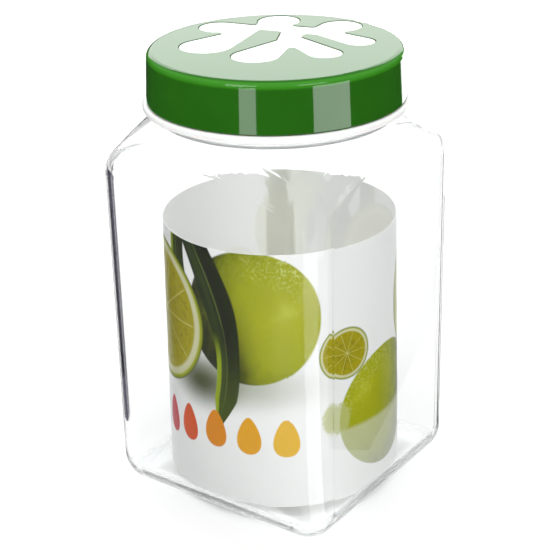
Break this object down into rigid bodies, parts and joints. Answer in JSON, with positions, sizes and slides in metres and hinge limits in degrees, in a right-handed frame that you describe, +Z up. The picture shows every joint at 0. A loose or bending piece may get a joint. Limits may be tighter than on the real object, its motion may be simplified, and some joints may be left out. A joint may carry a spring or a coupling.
{
  "type": "square storage jar",
  "caption": "Clear square plastic jar with a round threaded neck, a green and white screw lid with a petal window, and a rolled printed sheet inside.",
  "frame": {"origin": "centre of the base, on the surface that the jar stands on", "axes": "+Z up along the neck and the lid's turning axis, X and Y square to the jar's flat sides"},
  "size_m": [0.1134, 0.1134, 0.2005],
  "materials": {
    "clear_plastic": "polished",
    "white_plastic": "gloss",
    "green_plastic": "gloss",
    "liner_foam": "matte",
    "printed_paper": "satin"
  },
  "bodies": {
    "jar": {"jar_body": "clear_plastic", "paper_insert": "printed_paper"},
    "seal": {"seal_liner": "liner_foam"},
    "lid": {"screw_cap": "white_plastic", "cap_cover": "green_plastic"}
  },
  "joints": [
    {"name": "lid_lift", "type": "slide", "parent": "jar", "child": "seal", "axis": [0, 0, 1], "range_m": [0, 0.024]},
    {"name": "lid_turn", "type": "hinge", "parent": "seal", "child": "lid", "pos_m": [0, 0, 0.19], "axis": [0, 0, 1], "range_deg": [0, 720]}
  ],
  "couplings": [
    {"joint": "lid_lift", "follows": "lid_turn", "m_per_rad": 0.0019099}
  ]
}
